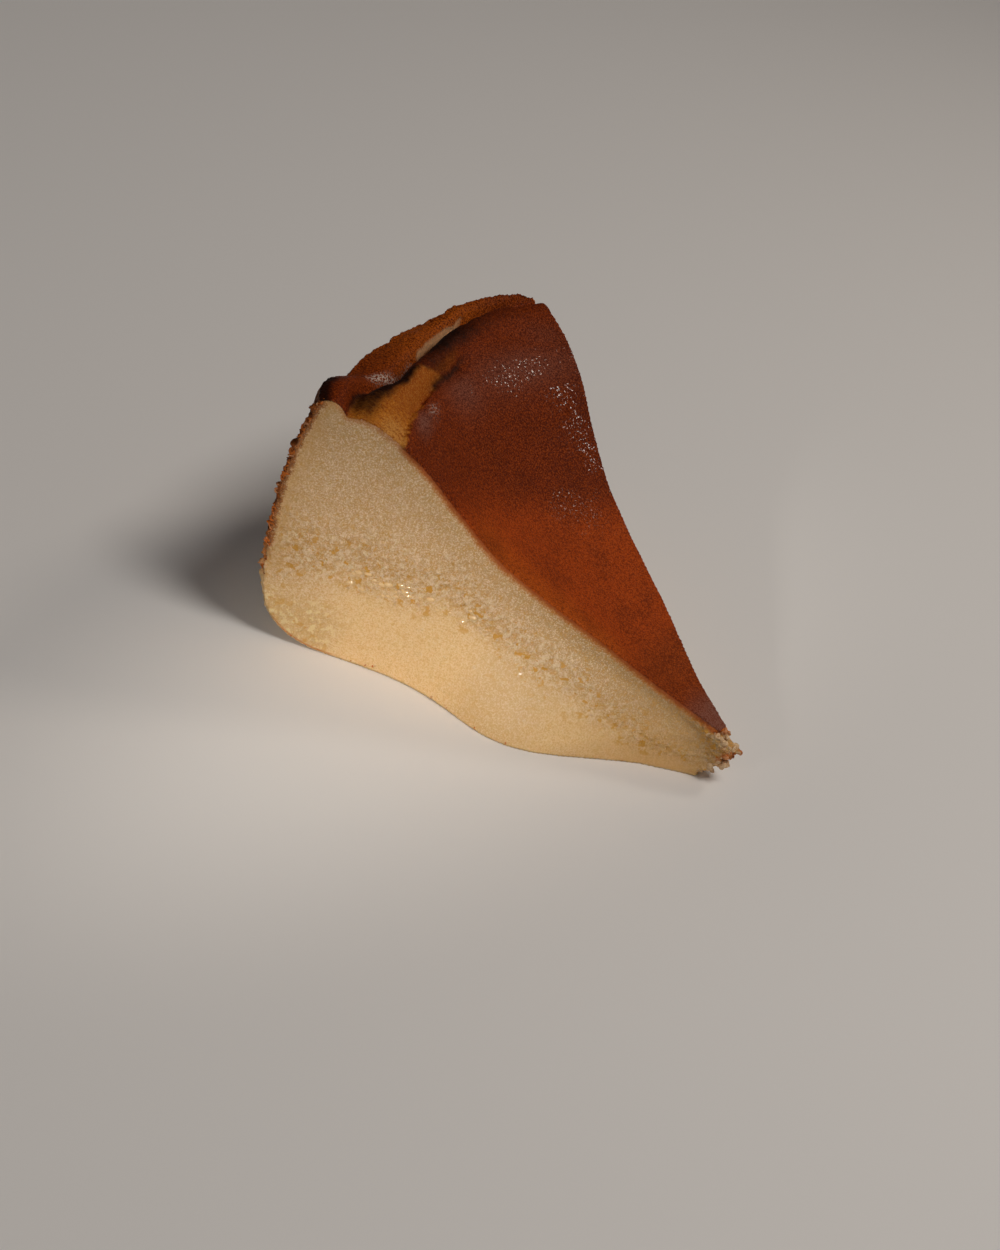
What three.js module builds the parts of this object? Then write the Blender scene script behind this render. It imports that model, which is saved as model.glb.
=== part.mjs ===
import * as THREE from "three";

// One slice of burnt Basque cheesecake, cut from a round cake that was baked in crumpled paper.
// Millimetres, +Z up. The slice stands on its flat base, its tip towards +X and its rind towards -X.
// A place in the slice is given by r, the distance out from the tip, and by turn, the angle in
// degrees from the cut face on the -Y side (0) to the cut face on the +Y side (sliceTurn).

const sliceTurn = 50; // a seventh of the cake, cut by hand
const cakeRadius = 100; // the rim of a cake from a 20 cm tin
const tip = { width: 3, fade: 7 }; // the tip is torn off blunt, and the width fades out from it

// The crown's height, from the sunken middle of the cake out to the rim: r, z.
const crownLine = [
  [0, 12.6], [15, 17.6], [30, 23.7], [45, 29.6], [56, 34.8],
  [66, 42], [75, 49.6], [81, 53.6], [88, 56.4], [95, 57.6], [104, 57.8],
];

// The rind's outline, from the base round the lower edge and up to the rim: r, z.
const rindLine = [
  [97, 4.6], [99.6, 8], [101.2, 12.5], [102.6, 22],
  [103.2, 33], [102.9, 43], [101.9, 51], [cakeRadius, 57.2],
];
const flatBaseRadius = 84; // the base is flat out to here, and then curves up to the rind
const baseCurve = 2.2; // the power by which it rises

// The crack that runs behind the crown's swollen edge and splits off the rim: turn, r.
const crackLine = [
  [0, 94], [5, 94.2], [10, 92.6], [14.5, 90.4], [20, 90.4], [30, 93], [40, 96], [sliceTurn, 98.8],
];
const crackDepthLine = [[0, 0.8], [6, 2.2], [14, 4], [28, 4], [40, 3], [sliceTurn, 1.4]]; // turn, depth
const crackHalfWidth = 1.7;

// The rim outside the crack, whose top dips and rises again: turn, z.
const rimLine = [
  [0, 56.8], [4, 57.4], [8, 55.8], [12, 53.6], [18, 54.2], [25, 55.4],
  [32, 55], [37, 57], [43, 58], [47, 59.2], [sliceTurn, 58.4],
];
const rimCrest = { outside: 4, halfWidth: 3, height: 0.9 }; // a rounded ridge just outside the crack
const rimEdge = { width: 3, drop: 0.5 }; // the rim's outer edge is worn down
const crackStep = { inside: 1.2, outside: 1.8 }; // where the crown's height gives way to the rim's

// The crown's swollen edge behind the crack, which is lower by the far cut face.
const swollenEdge = {
  inside: 3.4, halfWidth: 2.9, height: 1.9, farHeight: 0.7, start: 11, full: 17, lower: 30,
};
const innerFold = { r: 83, halfWidth: 1.9, depth: 1.3, start: 6, end: 31, fade: 5.5 };
// The crown's corner by the near cut face has sunk, and a soft lobe lies on it.
const cornerDrop = { start: 62, full: 88, halfTurn: 9, depth: 1.7 };
const cornerLobe = { r: 87.6, turn: 5, halfLength: 5.5, halfTurn: 9, height: 0.9 };

// How far the soft middle of the cake sags out of each cut face at the foot.
const nearSag = { r: 35.5, out: 13.3, halfIn: 20.5, halfOut: 21.5, top: 0.86 };
const farSag = { r: 32, out: 8, halfIn: 20, halfOut: 25, top: 1.3 };
const sagReach = 1.5; // the power by which the sag fades out towards the other cut face

// The upright creases that the paper pressed into the rind: turn at the foot, lean in degrees, depth.
const pleats = [
  [2.6, 1.4, 0.9], [8.2, 3.2, 1.8], [14.6, -1.6, 1.2], [20.4, 2.4, 2.0], [27.5, -2.2, 1.3],
  [32.6, 1.0, 2.1], [38.4, -1.2, 1.1], [43.8, 1.8, 1.7], [48.3, -0.6, 0.8],
];
const pleatHalfWidth = 2.4;
const pleatStart = { from: 0.02, full: 0.3 }; // the creases deepen over this share of the height

// How the torn tip steps in and out from the base up to the crust: share of the height, r.
const tornTipLine = [[0, 1.4], [0.25, 0], [0.48, -2.6], [0.68, -3.8], [0.82, -0.6], [0.91, 0.8], [1, 0.3]];

// Low unevenness: how deep it is, and how far apart its bumps are.
const crownWaves = { depth: 0.5, apart: 17 };
const crustBumps = { depth: 0.4, apart: 5.5, fullReach: 0.2 }; // they fade out at the tip
const crumbBumps = { depth: 0.45, apart: 5.5, from: 0.25, full: 0.55 }; // the foot of the cut is smooth
const rindBumps = { depth: 0.5, apart: 6 };
const tornBumps = { depth: 0.9, apart: 1.6 };

// The steps of the skin along the slice, across it and up it. The crack runs along one of the steps.
const stepsAlong = { inner: 22, toCrack: 10, rim: 8 };
const stepsAcross = 28;
const stepsUp = 15;
const innerReach = 0.74; // the share of the length that the wide inner steps cover

const { degToRad, lerp, smoothstep } = THREE.MathUtils;
const bell = (x) => Math.exp(-x * x);

// A smooth curve through [x, y] points, read at any x.
function curveThrough(points) {
  const last = points.length - 1;
  const slopeAt = (n) => {
    const [before, after] = [points[Math.max(n - 1, 0)], points[Math.min(n + 1, last)]];
    return (after[1] - before[1]) / (after[0] - before[0]);
  };
  return (x) => {
    if (x <= points[0][0]) return points[0][1];
    if (x >= points[last][0]) return points[last][1];
    const n = points.findIndex((point) => point[0] > x) - 1;
    const [[x0, y0], [x1, y1]] = [points[n], points[n + 1]];
    const t = (x - x0) / (x1 - x0);
    const leaving = (t ** 3 - 2 * t * t + t) * slopeAt(n);
    const arriving = (t ** 3 - t * t) * slopeAt(n + 1);
    return lerp(y0, y1, 3 * t * t - 2 * t ** 3) + (x1 - x0) * (leaving + arriving);
  };
}

// Repeatable unevenness from -1 to 1 at a place, with its bumps the given distance apart.
function unevenness(place, apart) {
  const cornerValue = (x, y, z) => {
    const wave = Math.sin(x * 127.1 + y * 311.7 + z * 74.7) * 43758.5453;
    return 2 * (wave - Math.floor(wave)) - 1;
  };
  const [i, j, k] = place.map((value) => Math.floor(value / apart));
  const [u, v, w] = place.map((value) => smoothstep(value / apart - Math.floor(value / apart), 0, 1));
  const edge = (y, z) => lerp(cornerValue(i, y, z), cornerValue(i + 1, y, z), u);
  return lerp(lerp(edge(j, k), edge(j + 1, k), v), lerp(edge(j, k + 1), edge(j + 1, k + 1), v), w);
}

const crownHeight = curveThrough(crownLine);
const crackRadius = curveThrough(crackLine);
const crackDepth = curveThrough(crackDepthLine);
const rimHeight = curveThrough(rimLine);
const tornTipRadius = curveThrough(tornTipLine);
const rindCurve = new THREE.CatmullRomCurve3(rindLine.map(([r, z]) => new THREE.Vector3(r, z, 0)));
const rindFoot = rindLine[0];
const rindTop = rindLine[rindLine.length - 1];

const stepCount = stepsAlong.inner + stepsAlong.toCrack + stepsAlong.rim;
const crackReach = lerp(innerReach, 1, stepsAlong.toCrack / (stepsAlong.toCrack + stepsAlong.rim));

// The share of the slice's length at a step: wide steps first, and close ones near the rim.
function reachAt(step) {
  if (step <= stepsAlong.inner) return (innerReach * step) / stepsAlong.inner;
  return lerp(innerReach, 1, (step - stepsAlong.inner) / (stepCount - stepsAlong.inner));
}

// The top skin's r at a reach, drawn so that the crack lies at its own reach.
function topRadius(reach, turn) {
  const innerRadius = innerReach * cakeRadius;
  if (reach <= innerReach) return cakeRadius * reach;
  if (reach <= crackReach) {
    return lerp(innerRadius, crackRadius(turn), (reach - innerReach) / (crackReach - innerReach));
  }
  return lerp(crackRadius(turn), cakeRadius, (reach - crackReach) / (1 - crackReach));
}

// The top skin's height at a place, with the rim, the crack, the swollen edge, the fold and the lobe.
function topHeight(r, turn) {
  const outside = r - crackRadius(turn); // distance outside the crack
  const crown = crownHeight(r) + crownWaves.depth * unevenness([r, turn, 0], crownWaves.apart);
  const rim = rimHeight(turn) + rimCrest.height * bell((outside - rimCrest.outside) / rimCrest.halfWidth)
    - rimEdge.drop * smoothstep(r, cakeRadius - rimEdge.width, cakeRadius);
  const towardsFar = smoothstep(turn, swollenEdge.lower, sliceTurn);
  const swelling = lerp(swollenEdge.height, swollenEdge.farHeight, towardsFar)
    * smoothstep(turn, swollenEdge.start, swollenEdge.full)
    * bell((outside + swollenEdge.inside) / swollenEdge.halfWidth);
  const foldSpan = smoothstep(turn, innerFold.start, innerFold.start + innerFold.fade)
    * (1 - smoothstep(turn, innerFold.end - innerFold.fade, innerFold.end));
  const fold = innerFold.depth * foldSpan * bell((r - innerFold.r) / innerFold.halfWidth);
  const drop = cornerDrop.depth * bell(turn / cornerDrop.halfTurn)
    * smoothstep(r, cornerDrop.start, cornerDrop.full);
  const lobe = cornerLobe.height * bell((r - cornerLobe.r) / cornerLobe.halfLength)
    * bell((turn - cornerLobe.turn) / cornerLobe.halfTurn);
  const crack = crackDepth(turn) * bell(outside / crackHalfWidth);
  const acrossCrack = smoothstep(outside, -crackStep.inside, crackStep.outside);
  return lerp(crown + swelling - fold - drop + lobe, rim, acrossCrack) - crack;
}

// How deep the paper's creases are pressed into the rind at a turn and a share of the height.
function pleatDepth(turn, share) {
  const depths = pleats.map(([foot, lean, depth]) => {
    const away = degToRad(turn - foot - lean * share) * cakeRadius;
    return depth * Math.exp(-Math.abs(away) / pleatHalfWidth);
  });
  return Math.max(...depths) * smoothstep(share, pleatStart.from, pleatStart.full);
}

// The slice's upright section at a turn, as [r, z] at shares of its length and height: its base, top,
// tip and rind, with its inside blended between them.
function sectionPoint(reach, share, turn) {
  const baseTip = tornTipRadius(0);
  const base = (t) => {
    const r = lerp(baseTip, rindFoot[0], t);
    const rise = Math.max(0, r - flatBaseRadius) / (rindFoot[0] - flatBaseRadius);
    return [r, rindFoot[1] * rise ** baseCurve];
  };
  const top = (t) => {
    const r = topRadius(t, turn);
    return [r, topHeight(r, turn)];
  };
  const tipSide = (t) => [tornTipRadius(t), top(0)[1] * t];
  const rindSide = (t) => {
    const { x, y } = rindCurve.getPoint(t);
    const risen = (y - rindFoot[1]) / (rindTop[1] - rindFoot[1]);
    return [x, lerp(rindFoot[1], top(1)[1], risen)];
  };
  const blend = (a, b, t) => [lerp(a[0], b[0], t), lerp(a[1], b[1], t)];
  const upright = blend(base(reach), top(reach), share);
  const level = blend(tipSide(share), rindSide(share), reach);
  const corners = blend(blend(base(0), base(1), reach), blend(top(0), top(1), reach), share);
  return [upright[0] + level[0] - corners[0], upright[1] + level[1] - corners[1]];
}

// How far a cut face has sagged outwards at r, at a share of the height.
function sagAt(sag, r, share) {
  const halfWidth = r < sag.r ? sag.halfIn : sag.halfOut;
  return sag.out * bell((r - sag.r) / halfWidth) * (1 - smoothstep(share, 0, sag.top));
}

// A point of the skin, at a step along the slice, across it and up it.
function skinPoint(step, across, up) {
  const [reach, width, share] = [reachAt(step), across / stepsAcross, up / stepsUp];
  const turn = width * sliceTurn;
  let [r, z] = sectionPoint(reach, share, turn);
  const spread = degToRad(turn) * cakeRadius;
  const pull = pleatDepth(turn, share) + rindBumps.depth * unevenness([0, spread, z], rindBumps.apart);
  r -= pull * Math.max(0, (reach - innerReach) / (1 - innerReach));
  if (step === 0 && share < 1) {
    r += tornBumps.depth * unevenness([0, width * tip.width, z], tornBumps.apart);
  }
  if (up === stepsUp) {
    const bump = crustBumps.depth * unevenness([r, spread * reach, 0], crustBumps.apart);
    z += bump * smoothstep(reach, 0, crustBumps.fullReach);
  }

  const out = Math.max(r, 0);
  const angle = degToRad(turn - sliceTurn / 2);
  const bluntness = (width - 0.5) * tip.width * Math.exp(-out / tip.fade);
  const nearOut = sagAt(nearSag, r, share) * (1 - width) ** sagReach;
  const farOut = sagAt(farSag, r, share) * width ** sagReach;
  const x = -r * Math.cos(angle);
  let y = out * Math.sin(angle) + bluntness - nearOut + farOut;
  if (across === 0 || across === stepsAcross) {
    const crumbly = smoothstep(share, crumbBumps.from, crumbBumps.full);
    y += crumbBumps.depth * crumbly * unevenness([x, across, z], crumbBumps.apart);
  }
  return [x, y, up === 0 && r < flatBaseRadius ? 0 : z];
}

// The whole skin: the six faces of a block of steps, which share the points along their edges.
function sliceGeometry() {
  const pointNumbers = new Map();
  const positions = [];
  const triangles = [];
  const pointNumber = (...steps) => {
    const name = steps.join(" ");
    if (!pointNumbers.has(name)) {
      pointNumbers.set(name, pointNumbers.size);
      positions.push(...skinPoint(...steps));
    }
    return pointNumbers.get(name);
  };
  // The squares are split one way and the other in turn, so that no slope is favoured.
  const addFace = (stepsA, stepsB, turnedOver, numberAt) => {
    for (let a = 0; a < stepsA; a += 1) {
      for (let b = 0; b < stepsB; b += 1) {
        const [p, q] = [numberAt(a, b), numberAt(a + 1, b)];
        const [s, t] = [numberAt(a + 1, b + 1), numberAt(a, b + 1)];
        const halves = (a + b) % 2 ? [[p, q, s], [p, s, t]] : [[p, q, t], [q, s, t]];
        halves.forEach((corners) => triangles.push(...(turnedOver ? corners.reverse() : corners)));
      }
    }
  };
  addFace(stepCount, stepsAcross, true, (a, b) => pointNumber(a, b, stepsUp));
  addFace(stepCount, stepsAcross, false, (a, b) => pointNumber(a, b, 0));
  addFace(stepCount, stepsUp, true, (a, b) => pointNumber(a, 0, b));
  addFace(stepCount, stepsUp, false, (a, b) => pointNumber(a, stepsAcross, b));
  addFace(stepsAcross, stepsUp, true, (a, b) => pointNumber(stepCount, a, b));
  addFace(stepsAcross, stepsUp, false, (a, b) => pointNumber(0, a, b));

  const geometry = new THREE.BufferGeometry();
  geometry.setAttribute("position", new THREE.Float32BufferAttribute(positions, 3));
  geometry.setIndex(triangles);
  geometry.computeBoundingBox();
  const middle = geometry.boundingBox.getCenter(new THREE.Vector3());
  geometry.translate(-middle.x, -middle.y, 0);
  geometry.computeVertexNormals();
  return geometry;
}

const slice = new THREE.Mesh(
  sliceGeometry(),
  new THREE.MeshStandardMaterial({ color: 0xd9a86c, roughness: 0.6, metalness: 0 }),
);
slice.name = "cheesecake_slice";

const cheesecake = new THREE.Group();
cheesecake.add(slice);

export default cheesecake;
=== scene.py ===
from math import cos, radians, sin
from types import SimpleNamespace

import bpy
import numpy as np
from mathutils import Matrix, Vector, noise


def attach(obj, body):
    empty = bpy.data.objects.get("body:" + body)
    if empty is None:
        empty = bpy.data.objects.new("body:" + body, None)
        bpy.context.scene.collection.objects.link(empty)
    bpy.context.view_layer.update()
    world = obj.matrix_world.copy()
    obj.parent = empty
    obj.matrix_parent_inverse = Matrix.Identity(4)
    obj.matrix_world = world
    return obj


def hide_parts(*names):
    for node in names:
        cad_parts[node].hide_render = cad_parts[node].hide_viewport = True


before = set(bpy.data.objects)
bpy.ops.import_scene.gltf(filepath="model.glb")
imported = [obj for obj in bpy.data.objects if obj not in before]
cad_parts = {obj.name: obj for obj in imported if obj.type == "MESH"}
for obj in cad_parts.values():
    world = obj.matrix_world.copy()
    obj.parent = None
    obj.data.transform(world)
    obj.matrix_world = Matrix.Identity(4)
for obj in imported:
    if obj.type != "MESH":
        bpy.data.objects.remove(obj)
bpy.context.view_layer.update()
mm = 0.001

# Lengths in the dictionaries are in millimetres and angles in degrees. A place in the slice is
# r, the distance out from the tip's axis, and turn, the angle from the near cut face to the far one.
# A share is of the crown's height there. A pair of values is what a fade starts and ends at.

place = {
    "tip": 49.4,               # where the tip's axis stands in the frame, along X
    "turn": 50.0,              # the slice's angle
    "cakeRadius": 100.0,
    "tipWidth": 3.0,           # the tip is torn off blunt
    "tipFade": 7.0,            # and this width fades out from it
    "firstGuess": 0.45,        # findPlace's largest first angle from the middle, in radians
    "rounds": 12,
    "pastCuts": 1.1,           # it lets an angle run past the cuts by this much
}

noiseSteps = (17.3, 5.1, 9.7)  # each seed moves the noise on by this


def smoothStep(x, start, end):
    t = np.clip((x - start) / (end - start), 0, 1)
    return t * t * (3 - 2 * t)


def between(x, start, end):
    return smoothStep(x, *start) * smoothStep(x, *end)


def bell(x):
    return np.exp(-x * x)


def mix(a, b, t):
    return a + (b - a) * t


def linesThrough(points, x):
    # straight lines through (x, y) points
    return np.interp(x, *np.array(points).T)


def curveThrough(points, x):
    # a smooth curve through (x, y) points
    xs, ys = np.array(points, float).T
    slopes = np.empty(len(xs))
    slopes[1:-1] = (ys[2:] - ys[:-2]) / (xs[2:] - xs[:-2])
    slopes[0] = (ys[1] - ys[0]) / (xs[1] - xs[0])
    slopes[-1] = (ys[-1] - ys[-2]) / (xs[-1] - xs[-2])
    x = np.clip(x, xs[0], xs[-1])
    n = np.clip(np.searchsorted(xs, x, side="right") - 1, 0, len(xs) - 2)
    gap = xs[n + 1] - xs[n]
    t = (x - xs[n]) / gap
    leaving = (t**3 - 2 * t**2 + t) * slopes[n]
    arriving = (t**3 - t**2) * slopes[n + 1]
    return mix(ys[n], ys[n + 1], 3 * t**2 - 2 * t**3) + gap * (leaving + arriving)


def unevenness(points, apart, seed):
    # soft noise from about -1 to 1 at each point, with its bumps this far apart
    shift = Vector([seed * step for step in noiseSteps])
    return np.array([noise.noise(Vector(p) / apart + shift) for p in points.tolist()])


def layered(points, layers):
    # the sum of such noises: height, how far apart, seed
    return sum(height * unevenness(points, apart, seed) for height, apart, seed in layers)


def onlySelect(piece):
    bpy.ops.object.select_all(action="DESELECT")
    piece.select_set(True)
    bpy.context.view_layer.objects.active = piece


def applyModifier(piece, kind, **settings):
    onlySelect(piece)
    bpy.ops.object.modifier_add(type=kind)
    modifier = piece.modifiers[-1]
    for name, value in settings.items():
        setattr(modifier, name, value)
    bpy.ops.object.modifier_apply(modifier=modifier.name)


def getPoints(piece):
    points = np.empty(len(piece.data.vertices) * 3)
    piece.data.vertices.foreach_get("co", points)
    return points.reshape(-1, 3) / mm


def setPoints(piece, points):
    piece.data.vertices.foreach_set("co", (points * mm).ravel())
    piece.data.update()


def getNormals(piece):
    normals = np.empty(len(piece.data.vertices) * 3, np.float32)
    piece.data.vertices.foreach_get("normal", normals)
    return normals.reshape(-1, 3).astype(float)


def setFields(piece, **fields):
    # numbers for each vertex, which the materials read by their names
    for name, values in fields.items():
        attribute = piece.data.attributes.new(name, "FLOAT", "POINT")
        attribute.data.foreach_set("value", np.asarray(values, np.float32))


def getField(piece, name):
    values = np.empty(len(piece.data.vertices), np.float32)
    piece.data.attributes[name].data.foreach_get("value", values)
    return values.astype(float)


def getFields(piece, *names):
    return SimpleNamespace(**{name: getField(piece, name) for name in names})


def setWeights(piece, name, weights, levels=16):
    # a vertex group, in steps, for the modifiers
    group = piece.vertex_groups.new(name=name)
    steps = np.round(np.clip(weights, 0, 1) * levels).astype(int)
    for step in range(1, levels + 1):
        group.add(np.flatnonzero(steps == step).tolist(), step / levels, "REPLACE")


# The slice before it sagged: its section, spun about the tip's axis

section = {
    "crown": [(0, 12.6), (15, 17.6), (30, 23.7), (45, 29.6), (56, 34.8), (66, 42),
              (75, 49.6), (81, 53.6), (88, 56.4), (95, 57.6), (104, 57.8)],
    "rind": [(97, 4.6), (99.6, 8), (101.2, 12.5), (102.6, 22),
             (103.2, 33), (102.9, 43), (101.9, 51), (100, 57.2)],
    "flatBase": 84.0,          # the base is flat out to here
    "baseCurve": 2.2,          # and rises by this power to the rind
    "start": 0.02,             # the outline starts just off the axis
    "points": {"base": 8, "edge": 9, "rind": 22, "crown": 45},
    "spinSteps": 24,
    "voxel": 0.38,
}


def crownHeight(r):
    return curveThrough(section["crown"], r)


def baseHeight(r):
    footR, footZ = section["rind"][0]
    rise = np.clip((r - section["flatBase"]) / (footR - section["flatBase"]), 0, 1)
    return footZ * rise ** section["baseCurve"]


def rindRadius(z):
    return curveThrough([(z, r) for r, z in section["rind"]], z)


def sectionOutline():
    # (r, z) from the tip's foot along the base, up the rind and back over the crown
    start, flat, points = section["start"], section["flatBase"], section["points"]
    (footR, footZ), (topR, topZ) = section["rind"][0], section["rind"][-1]
    base = [(r, 0.0) for r in np.linspace(start, flat, points["base"])]
    edge = [(r, float(baseHeight(r))) for r in np.linspace(flat, footR, points["edge"])[1:]]
    rind = [(float(rindRadius(z)), z) for z in np.linspace(footZ, topZ, points["rind"])[1:]]
    crown = [(r, float(crownHeight(r))) for r in np.linspace(topR, start, points["crown"])]
    return base + edge + rind + crown


def spotAt(r, turn, z):
    # a place in the slice as a point of the frame, in metres
    angle = radians(turn - place["turn"] / 2)
    return Vector((place["tip"] - r * cos(angle), r * sin(angle), z)) * mm


def findPlace(points):
    # r and turn of points, allowing for the tip's bluntness
    x, y = place["tip"] - points[:, 0], points[:, 1]
    half, guess = radians(place["turn"] / 2), place["firstGuess"]
    furthest = half * place["pastCuts"]
    angle = np.clip(np.arctan2(y, np.maximum(x, 1)), -guess, guess)
    for _ in range(place["rounds"]):
        r = np.maximum(x / np.cos(angle), 0)
        blunt = place["tipWidth"] / 2 / half * np.exp(-r / place["tipFade"])
        off = r * np.sin(angle) + blunt * angle - y
        angle = np.clip(angle - off / (r * np.cos(angle) + blunt), -furthest, furthest)
    return x / np.cos(angle), np.degrees(angle + half)


def addSliceBody():
    outline = [spotAt(r, 0, z) for r, z in sectionOutline()]
    bpy.ops.object.select_all(action="DESELECT")
    bpy.ops.mesh.primitive_plane_add(size=2 * mm, location=outline[0])
    piece = bpy.context.object
    piece.name = piece.data.name = "cheesecake"
    bpy.ops.object.transform_apply(location=True, rotation=True, scale=True)
    bpy.ops.object.mode_set(mode="EDIT")
    bpy.ops.mesh.merge(type="CENTER")      # one point, which is drawn out along the outline
    for here, there in zip(outline, outline[1:]):
        bpy.ops.mesh.extrude_region_move(TRANSFORM_OT_translate={"value": there - here})
    bpy.ops.mesh.select_all(action="SELECT")
    bpy.ops.mesh.edge_face_add()
    bpy.ops.mesh.spin(steps=section["spinSteps"], angle=radians(place["turn"]),
                      center=(place["tip"] * mm, 0, 0), axis=(0, 0, 1))
    bpy.ops.mesh.select_all(action="SELECT")
    bpy.ops.mesh.normals_make_consistent(inside=False)
    bpy.ops.object.mode_set(mode="OBJECT")
    return piece


def bluntTip(piece):
    # the spun tip is widened before the mesh is made even
    points = getPoints(piece)
    x, y = place["tip"] - points[:, 0], points[:, 1]
    r, angle = np.hypot(x, y), np.arctan2(y, x)
    width = place["tipWidth"] / place["turn"] * np.degrees(angle)
    points[:, 1] += width * np.exp(-r / place["tipFade"])
    setPoints(piece, points)


# The base, the rind and the crust need fewer faces than the cuts

thinning = {
    "keptFaces": 0.5,          # the share of all the faces that is left
    "arc": 57,                 # about the degrees of an arc as long as its radius
    "base": {"z": (1.2, 0.4), "r": (3, 6), "inside": (0.6, 1.4)},
    "rind": {"out": (-1.2, -0.6), "turn": (1.5, 3), "z": (57, 54), "strength": 0.3},
    "crust": {"up": (-1.6, -0.8), "r": (80, 76), "inside": (0.8, 2), "strength": 0.3},
}


def thinSmoothFaces(piece):
    points = getPoints(piece)
    z = points[:, 2]
    r, turn = findPlace(points)
    fromCuts = np.minimum(turn, place["turn"] - turn)
    inside = fromCuts * r / thinning["arc"]
    base, rind, crust = thinning["base"], thinning["rind"], thinning["crust"]
    onBase = smoothStep(z, *base["z"]) * smoothStep(r, *base["r"]) * smoothStep(inside, *base["inside"])
    onRind = smoothStep(r - rindRadius(z), *rind["out"]) * smoothStep(fromCuts, *rind["turn"])
    onRind = rind["strength"] * onRind * smoothStep(z, *rind["z"])
    onCrust = smoothStep(z - crownHeight(np.maximum(r, 0)), *crust["up"]) * smoothStep(r, *crust["r"])
    onCrust = crust["strength"] * onCrust * smoothStep(inside, *crust["inside"])
    setWeights(piece, "thin", np.maximum(np.maximum(onBase, onRind), onCrust))
    applyModifier(piece, "DECIMATE", ratio=thinning["keptFaces"], vertex_group="thin")
    piece.vertex_groups.clear()


# The forms of the baked and sagged slice, as a sculptor moves the even mesh

form = {
    # the crack behind the crown's swollen edge, which splits off the rim: turn, r and turn, depth
    "crack": [(0, 94), (5, 94.2), (10, 92.6), (14.5, 90.4), (20, 90.4), (30, 93), (40, 96), (50, 98.8)],
    "crackDepth": [(0, 0.8), (6, 2.2), (14, 4), (28, 4), (40, 3), (50, 1.4)],
    "crackHalfWidth": 1.7,
    "crackStep": (-1.2, 1.8),  # where the crown's height gives way to the rim's
    # the rim's top: turn, z
    "rim": [(0, 56.8), (4, 57.4), (8, 55.8), (12, 53.6), (18, 54.2), (25, 55.4),
            (30, 55), (34.5, 57), (40, 57.8), (44.5, 59), (47, 59.2), (50, 58.4)],
    "rimCrest": {"outside": 4, "halfWidth": 3, "height": 0.9},
    "rimEdge": {"width": 3, "drop": 0.5},
    "swollenEdge": {"inside": 3.4, "halfWidth": 2.9, "height": 1.9, "start": (11, 17),
                    "farHeight": 0.7, "lower": (30, 50)},      # and it gets lower from turn to turn
    "innerFold": {"halfWidth": 1.9, "depth": 1.3, "start": (6, 11.5), "end": (31, 25.5)},
    "foldLine": [(6, 83), (15, 83), (19, 83.6), (23, 84.1), (27, 85.2), (31, 86.6)],   # turn, r
    "cornerDrop": {"r": (62, 88), "halfTurn": 9, "depth": 1.7},
    "cornerLobe": {"r": 87.6, "turn": 5, "halfLength": 5.5, "halfTurn": 9, "height": 0.9},
    "lobeEdge": [(0, 82), (3, 82.2), (8, 82.5), (13, 82.8), (19, 83.4), (24, 84)],     # turn, r
    "nearSag": {"r": 35.5, "out": 13.3, "halfIn": 20.5, "halfOut": 21.5, "top": 0.86},
    "farSag": {"r": 32, "out": 8, "halfIn": 20, "halfOut": 25, "top": 1.3},
    "sagReach": 1.5,           # how fast a sag fades out through the slice, as a power
    # the paper's upright creases in the rind: turn at the foot, lean, depth
    "pleats": [(2.6, 1.4, 0.9), (8.2, 3.2, 1.8), (14.6, -1.6, 1.2), (20.4, 2.4, 2.0), (27.5, -2.2, 1.3),
               (32.6, 1.0, 2.1), (38.4, -1.2, 1.1), (43.8, 1.8, 1.7), (48.3, -0.6, 0.8)],
    "pleatHalfWidth": 2.4,
    "pleatStart": (0.02, 0.3),
    "pleatTop": {"share": (0.6, 1.0), "shallower": 0.5},
    "pleatReach": 74.0,        # the pull fades out in from the rind to here
    "deepPleat": 2.0,          # the depth that counts as 1 in the field pleat
    # the torn tip below the crust: share, r
    "tornTip": [(0, 1.4), (0.25, 0), (0.48, -2.6), (0.68, -3.8), (0.82, -0.6), (0.91, 0.8), (1, 0.3)],
    "tipSideways": (0, 8),     # out from here it is moved along the slice's turn as well
    "slopeFade": (-1, 1),      # the crown has no slope at the axis
}


def topHeight(r, turn):
    crest, brink = form["rimCrest"], form["rimEdge"]
    outside = r - curveThrough(form["crack"], turn)
    rimTop = (curveThrough(form["rim"], turn)
              + crest["height"] * bell((outside - crest["outside"]) / crest["halfWidth"])
              - brink["drop"] * smoothStep(r, place["cakeRadius"] - brink["width"], place["cakeRadius"]))
    edge = form["swollenEdge"]
    swelling = (mix(edge["height"], edge["farHeight"], smoothStep(turn, *edge["lower"]))
                * smoothStep(turn, *edge["start"])
                * bell((outside + edge["inside"]) / edge["halfWidth"]))
    fold = form["innerFold"]
    folded = (fold["depth"] * bell((r - curveThrough(form["foldLine"], turn)) / fold["halfWidth"])
              * between(turn, fold["start"], fold["end"]))
    drop, lobe = form["cornerDrop"], form["cornerLobe"]
    dropped = drop["depth"] * bell(turn / drop["halfTurn"]) * smoothStep(r, *drop["r"])
    raised = (lobe["height"] * bell((r - lobe["r"]) / lobe["halfLength"])
              * bell((turn - lobe["turn"]) / lobe["halfTurn"]))
    acrossCrack = smoothStep(outside, *form["crackStep"])
    split = curveThrough(form["crackDepth"], turn) * bell(outside / form["crackHalfWidth"])
    return mix(crownHeight(r) + swelling - folded - dropped + raised, rimTop, acrossCrack) - split


def sagOut(sag, r, share):
    halfWidth = np.where(r < sag["r"], sag["halfIn"], sag["halfOut"])
    return sag["out"] * bell((r - sag["r"]) / halfWidth) * smoothStep(share, sag["top"], 0)


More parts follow.
